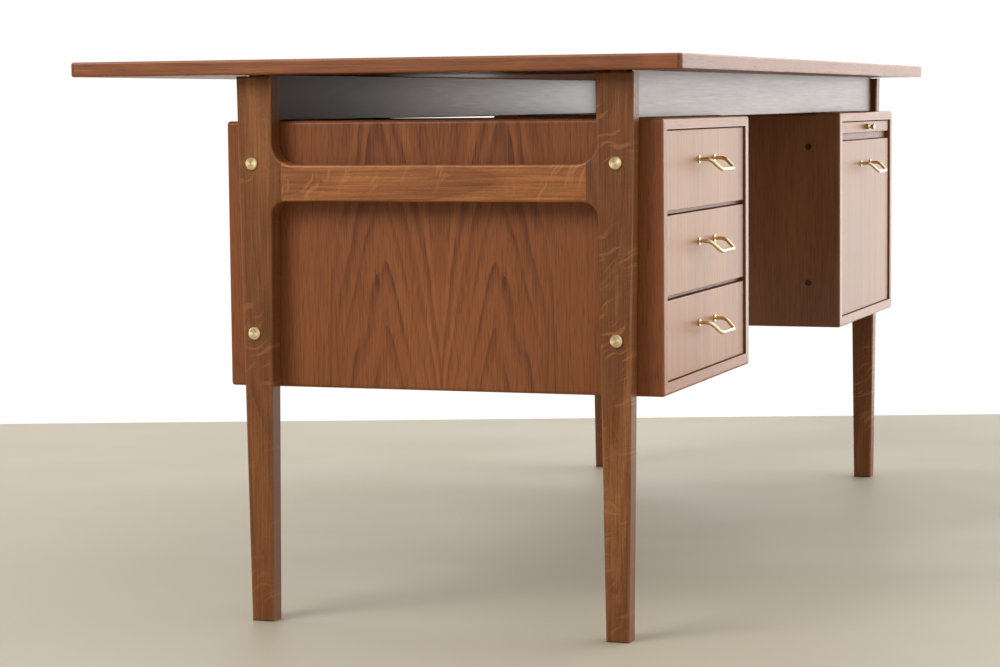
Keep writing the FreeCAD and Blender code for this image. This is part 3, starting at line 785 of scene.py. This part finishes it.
def pull_ends(node):
    """Where the two legs of a pull come out, inside the drawer."""
    low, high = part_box(node)
    level = high.z - ROSETTE_RADIUS
    left, right = low.x + ROSETTE_RADIUS, high.x - ROSETTE_RADIUS
    return [Vector((x, high.y, level)) for x in (left, right)]


first_end = pull_ends("drawer_1_pull")[0]
on_washer = first_end + Vector((0.0, WASHER_THICK, 0.0))
on_nut = on_washer + Vector((0.0, NUT_THICK, 0.0))

washer = turned_piece("washer", WASHER_SIDES, WASHER_RADIUS, WASHER_THICK, first_end)
soften(WASHER_BEVEL)
thread = turned_piece("thread", THREAD_SIDES, THREAD_RADIUS, THREAD_SHOWS, on_nut)
chamfer_end(thread, THREAD_CHAMFER, CHAMFER_RISE)
soften(THREAD_BEVEL)
nut = turned_piece("nut", NUT_SIDES, NUT_RADIUS, NUT_THICK, on_washer)
chamfer_end(nut, NUT_CHAMFER, CHAMFER_RISE)
soften(NUT_BEVEL)

for piece in (washer, thread, nut):
    piece.select_set(True)
bpy.ops.object.join()
bpy.ops.object.transform_apply(location=True, rotation=True, scale=True)
bpy.ops.object.shade_smooth_by_angle(angle=SHARPEST_SMOOTHED)
fastening = bpy.context.object
fastening.data.materials.clear()
fastening.data.materials.append(steel)
print("one fastening:", len(fastening.data.polygons), "faces")

# %% [markdown]
# The set now has its place in its mesh, with its object at the origin. A copy is moved the
# same way, in the mesh, and then rides on its drawer, so that it comes out when the drawer
# is opened.

# %% A pair behind every pull
for drawer in DRAWERS:
    for name, end in zip(("left", "right"), pull_ends(f"{drawer}_pull")):
        piece = bpy.data.objects.new(f"{drawer}_{name}_nut", fastening.data.copy())
        piece.data.transform(Matrix.Translation(end - first_end))
        bpy.context.scene.collection.objects.link(piece)
        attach(piece, drawer)
bpy.data.objects.remove(fastening)

# %% [markdown]
# ## The floor
#
# A piece of furniture is judged by its edges and its sheen, so the room is bare. The floor
# is one plain pale sheet that stops a few metres behind the desk, like a sweep of card, and
# beyond it is only white. A curved sweep would hide that far edge, but a straight edge,
# turned square to the line of sight, gives the desk a level line to stand against.

# %% Floor
FLOOR_BEHIND, FLOOR_AHEAD, FLOOR_HALF = 14.0, 5.49, 14.0
FLOOR_DARK, FLOOR_LIGHT = (0.385, 0.345, 0.265), (0.425, 0.385, 0.300)
MOTTLES, MOTTLE_EDGE, FLOOR_ROUGHNESS = 60.0, (0.3, 0.7), (0.50, 0.62)
floor_length = FLOOR_BEHIND + FLOOR_AHEAD
floor_middle = (FLOOR_AHEAD - FLOOR_BEHIND) / 2

bpy.ops.object.select_all(action="DESELECT")
bpy.ops.mesh.primitive_plane_add(size=1.0)
floor = bpy.context.object
floor.name = "floor"
floor.scale = (floor_length, 2 * FLOOR_HALF, 1.0)
floor.rotation_euler = (0.0, 0.0, TURN)
floor.location = (EYE.x + floor_middle * math.cos(TURN),
                  EYE.y + floor_middle * math.sin(TURN), 0.0)

f = Finish("pale_floor")
mottle = f.noise(f.here(), scale=MOTTLES, detail=3.0)
f.shine(f.tint(mottle, FLOOR_DARK, FLOOR_LIGHT),
        f.fit(mottle, *MOTTLE_EDGE, *FLOOR_ROUGHNESS), Specular_IOR_Level=0.25)
floor.data.materials.append(f.material)
print("floor:", round(floor_length, 2), "by", 2 * FLOOR_HALF)

# %% [markdown]
# ## The light
#
# Lamps alone would put hard bright shapes in the polish. Most of the light comes from the
# sky instead, made as a soft room: bright to the right, where a window would be, lighter
# above and in front, and dim on the left, so that the near end keeps its deep colour and
# the drawer fronts take a pale glare. The camera itself sees plain white.
#
# The sky's nodes are made on the same bench as the finishes. The way to a point of the
# sky is three numbers from -1 to 1, and how bright it is comes from them.

# %% Sky
WINDOW, FRONT, ABOVE, EVERYWHERE, SEEN = 2.65, 0.74, 0.55, 0.20, 1.05
WINDOW_X, WINDOW_Y = 0.94, -0.33
WARM_WHITE = (1.0, 0.985, 0.96, 1.0)

world = bpy.data.worlds.new("soft_room")
bpy.context.scene.world = world
world.use_nodes = True
sky = Bench(world.node_tree)
light = sky.tree.nodes["Background"]
light.inputs["Color"].default_value = WARM_WHITE

way_x, way_y, way_z = sky.parts(sky.node("ShaderNodeTexCoord").outputs["Generated"])
window = sky.add(sky.times(way_x, WINDOW_X), sky.times(way_y, WINDOW_Y))
window = sky.math("POWER", sky.math("MAXIMUM", window, 0.0), 2.0)
front = sky.math("MAXIMUM", sky.times(way_y, -1.0), 0.0)
above = sky.math("MAXIMUM", way_z, 0.0)
room = sky.add(sky.times(window, WINDOW), sky.times(front, FRONT))
room = sky.add(room, sky.times(above, ABOVE))
room = sky.add(room, EVERYWHERE)
seen = sky.node("ShaderNodeLightPath").outputs["Is Camera Ray"]
unseen = sky.less(1.0, seen)
strength = sky.add(sky.times(room, unseen), sky.times(seen, SEEN))
sky.set(light.inputs["Strength"], strength)
print("sky ready, window", WINDOW, "to", EVERYWHERE, "elsewhere")

# %% [markdown]
# Two large lamps finish it. One lifts the left end, which the window doesn't reach, and
# one behind lights the back of the desk and the floor beyond it.

# %% Lamps
LAMP_WHITE = (1.0, 0.98, 0.95)


def soft_lamp(name, place, target, size, power):
    """A square sheet of light that faces a target."""
    lamp = bpy.data.objects.new(name, bpy.data.lights.new(name, "AREA"))
    bpy.context.scene.collection.objects.link(lamp)
    lamp.data.size = size
    lamp.data.energy = power
    lamp.data.color = LAMP_WHITE
    lamp.location = place
    towards = Vector(target) - Vector(place)
    lamp.rotation_euler = towards.to_track_quat("-Z", "Y").to_euler()


soft_lamp("end_light", (-3.2, 1.6, 2.6), (-0.6, 0.0, 0.35), size=1.8, power=88)
soft_lamp("back_light", (0.5, 4.0, 2.5), (0.0, 0.0, 0.4), size=2.0, power=40)
